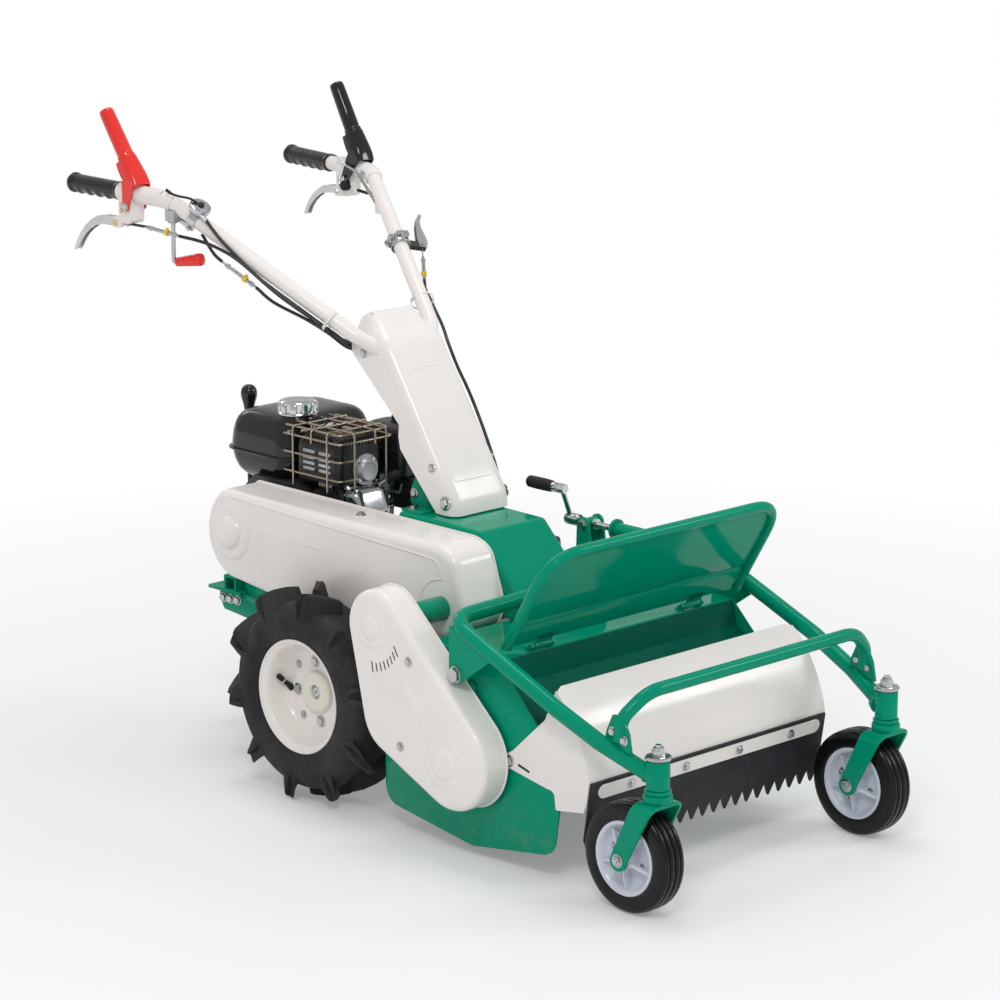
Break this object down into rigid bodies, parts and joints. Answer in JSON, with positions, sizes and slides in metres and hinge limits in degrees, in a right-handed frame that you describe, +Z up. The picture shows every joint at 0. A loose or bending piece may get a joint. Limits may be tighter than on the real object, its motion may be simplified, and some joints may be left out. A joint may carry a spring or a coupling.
{
  "type": "hammer knife mower",
  "caption": "Walk-behind hammer knife mower: lug-tyre drive wheels, swivelling front casters on a height frame, rotor deck with lid, engine, belt cases and raised handles.",
  "frame": {"origin": "middle of the machine's footprint, on the ground under the tyres", "axes": "+X the machine's left, -Y its front with the casters and +Y its rear with the handles, +Z up"},
  "size_m": [0.683, 1.5348, 1.1636],
  "materials": {
    "green_paint": "gloss enamel",
    "ivory_paint": "gloss enamel",
    "cast_grey": "cast and painted grey",
    "cast_aluminium": "cast, matt",
    "black_enamel": "gloss black enamel",
    "black_plastic": "moulded, semi-gloss",
    "black_rubber": "matt moulded rubber",
    "drive_tyre_rubber": "matt, with lugs",
    "hub_plastic": "pale moulded nylon",
    "zinc": "bright zinc plate",
    "aluminium": "polished casting",
    "red_plastic": "moulded, glossy",
    "guard_wire": "wire, browned by heat",
    "belt_rubber": "fabric-backed belt"
  },
  "bodies": {
    "chassis": {"air_cleaner": "black_plastic", "belt_case": "ivory_paint", "carburettor": "aluminium", "chassis_box": "green_paint", "column_cover": "ivory_paint", "column_post": "green_paint", "control_cables_left": "black_rubber", "control_cables_right": "black_rubber", "countershaft_tube": "green_paint", "engine_belt": "belt_rubber", "rotor_belt": "belt_rubber", "engine_block": "cast_aluminium", "flap_clamp": "ivory_paint", "front_cover": "ivory_paint", "fuel_tank": "black_enamel", "handle_grip_left": "black_rubber", "handle_grip_right": "black_rubber", "handlebar": "ivory_paint", "height_bracket": "green_paint", "lever_bracket_left": "ivory_paint", "lever_bracket_right": "ivory_paint", "lever_clamp": "cast_grey", "mower_deck": "green_paint", "muffler": "black_enamel", "muffler_guard": "guard_wire", "rear_frame": "green_paint", "recoil_housing": "black_plastic", "rocker_cover": "zinc", "rotor_belt_cover": "ivory_paint", "rubber_flap": "black_rubber", "throttle_body": "zinc", "transmission": "cast_grey"},
    "drive_wheel_right": {"drive_tyre_right": "drive_tyre_rubber", "drive_rim_right": "ivory_paint"},
    "drive_wheel_left": {"drive_tyre_left": "drive_tyre_rubber", "drive_rim_left": "ivory_paint"},
    "front_frame": {"front_frame": "green_paint", "guard_bar": "green_paint"},
    "caster_right": {"caster_fork_right": "green_paint"},
    "caster_left": {"caster_fork_left": "green_paint"},
    "caster_wheel_right": {"caster_tyre_right": "black_rubber", "caster_hub_right": "hub_plastic"},
    "caster_wheel_left": {"caster_tyre_left": "black_rubber", "caster_hub_left": "hub_plastic"},
    "nut_tube": {"nut_tube": "green_paint"},
    "height_screw": {"height_crank": "zinc"},
    "lid": {"lid": "green_paint"},
    "rotor": {"hammer_rotor": "cast_grey"},
    "countershaft": {"countershaft": "cast_grey"},
    "crankshaft": {"engine_pulley": "cast_grey"},
    "fuel_cap": {"fuel_cap": "zinc"},
    "starter_grip": {"starter_grip": "black_rubber"},
    "gear_lever": {"gear_lever": "zinc"},
    "red_lever": {"red_lever": "red_plastic"},
    "black_lever": {"black_lever": "black_plastic"},
    "clutch_lever_right": {"clutch_lever_right": "aluminium"},
    "clutch_lever_left": {"clutch_lever_left": "aluminium"},
    "third_lever": {"third_lever": "aluminium"},
    "throttle_lever": {"throttle_lever": "black_plastic"},
    "swing_crank": {"swing_crank": "red_plastic"}
  },
  "joints": [
    {"name": "drive_wheel_right_spin", "type": "hinge", "parent": "chassis", "child": "drive_wheel_right", "pos_m": [-0.2475, 0.10709, 0.19], "axis": [1, 0, 0], "continuous": true},
    {"name": "drive_wheel_left_spin", "type": "hinge", "parent": "chassis", "child": "drive_wheel_left", "pos_m": [0.2725, 0.10709, 0.19], "axis": [1, 0, 0], "continuous": true},
    {"name": "front_frame_tilt", "type": "hinge", "parent": "chassis", "child": "front_frame", "pos_m": [0.0125, -0.3109, 0.322], "axis": [1, 0, 0], "range_deg": [-3.5, 3.5]},
    {"name": "nut_tube_turn", "type": "hinge", "parent": "front_frame", "child": "nut_tube", "pos_m": [0.1625, -0.29091, 0.468], "axis": [1, 0, 0], "range_deg": [-3.6, 3.6]},
    {"name": "height_screw_turn", "type": "hinge", "parent": "chassis", "child": "height_screw", "pos_m": [0.1625, -0.1549, 0.468], "axis": [0, 1, 0], "range_deg": [-410, 410]},
    {"name": "caster_right_swivel", "type": "hinge", "parent": "front_frame", "child": "caster_right", "pos_m": [-0.2635, -0.72591, 0.214], "axis": [0, 0, 1], "continuous": true},
    {"name": "caster_left_swivel", "type": "hinge", "parent": "front_frame", "child": "caster_left", "pos_m": [0.2885, -0.72591, 0.214], "axis": [0, 0, 1], "continuous": true},
    {"name": "caster_wheel_right_spin", "type": "hinge", "parent": "caster_right", "child": "caster_wheel_right", "pos_m": [-0.2635, -0.6759, 0.0915], "axis": [1, 0, 0], "continuous": true},
    {"name": "caster_wheel_left_spin", "type": "hinge", "parent": "caster_left", "child": "caster_wheel_left", "pos_m": [0.2885, -0.6759, 0.0915], "axis": [1, 0, 0], "continuous": true},
    {"name": "lid_hinge", "type": "hinge", "parent": "chassis", "child": "lid", "pos_m": [0.0125, -0.3689, 0.3585], "axis": [1, 0, 0], "range_deg": [0, 58]},
    {"name": "rotor_spin", "type": "hinge", "parent": "chassis", "child": "rotor", "pos_m": [0.0125, -0.3109, 0.176], "axis": [1, 0, 0], "continuous": true},
    {"name": "countershaft_spin", "type": "hinge", "parent": "chassis", "child": "countershaft", "pos_m": [0.0125, -0.13891, 0.376], "axis": [1, 0, 0], "continuous": true},
    {"name": "crankshaft_spin", "type": "hinge", "parent": "chassis", "child": "crankshaft", "pos_m": [0.0125, 0.41409, 0.409], "axis": [1, 0, 0], "continuous": true},
    {"name": "fuel_cap_turn", "type": "hinge", "parent": "chassis", "child": "fuel_cap", "pos_m": [-0.0155, 0.41309, 0.609], "axis": [0, 0, 1], "range_deg": [0, 90]},
    {"name": "starter_grip_pull", "type": "slide", "parent": "chassis", "child": "starter_grip", "axis": [0, -1, 0], "range_m": [0, 0.45], "stiffness_N_per_m": 8, "springref_m": -1},
    {"name": "gear_lever_shift", "type": "hinge", "parent": "chassis", "child": "gear_lever", "pos_m": [0.0325, 0.5941, 0.272], "axis": [1, 0, 0], "range_deg": [-14, 4]},
    {"name": "red_lever_pull", "type": "hinge", "parent": "chassis", "child": "red_lever", "pos_m": [-0.23371, 0.5951, 0.984], "axis": [-1, 0, 0], "range_deg": [0, 36], "stiffness_Nm_per_rad": 3, "springref_deg": -28.65},
    {"name": "black_lever_pull", "type": "hinge", "parent": "chassis", "child": "black_lever", "pos_m": [0.25659, 0.5651, 0.984], "axis": [-1, 0, 0], "range_deg": [0, 36], "stiffness_Nm_per_rad": 3, "springref_deg": -28.65},
    {"name": "clutch_lever_right_pull", "type": "hinge", "parent": "chassis", "child": "clutch_lever_right", "pos_m": [-0.23371, 0.63309, 0.958], "axis": [1, 0, 0], "range_deg": [0, 18], "stiffness_Nm_per_rad": 2, "springref_deg": -22.92},
    {"name": "clutch_lever_left_pull", "type": "hinge", "parent": "chassis", "child": "clutch_lever_left", "pos_m": [0.25659, 0.6021, 0.962], "axis": [1, 0, 0], "range_deg": [0, 18], "stiffness_Nm_per_rad": 2, "springref_deg": -22.92},
    {"name": "third_lever_squeeze", "type": "hinge", "parent": "chassis", "child": "third_lever", "pos_m": [0.22218, 0.33817, 0.88758], "axis": [0, -0.5641, 0.8257], "range_deg": [0, 20], "stiffness_Nm_per_rad": 0.5, "springref_deg": -22.92},
    {"name": "throttle_lever_turn", "type": "hinge", "parent": "chassis", "child": "throttle_lever", "pos_m": [-0.20636, 0.44402, 0.99854], "axis": [0, -0.5641, 0.8257], "range_deg": [-20, 60]},
    {"name": "swing_crank_turn", "type": "hinge", "parent": "chassis", "child": "swing_crank", "pos_m": [-0.22697, 0.49744, 0.9648], "axis": [0, 0, 1], "continuous": true}
  ],
  "couplings": [
    {"joint": "nut_tube_turn", "follows": "front_frame_tilt", "ratio": -1},
    {"joint": "height_screw_turn", "follows": "front_frame_tilt", "ratio": 115.45},
    {"joint": "countershaft_spin", "follows": "rotor_spin", "ratio": 1.3095},
    {"joint": "crankshaft_spin", "follows": "rotor_spin", "ratio": 1.1058}
  ]
}
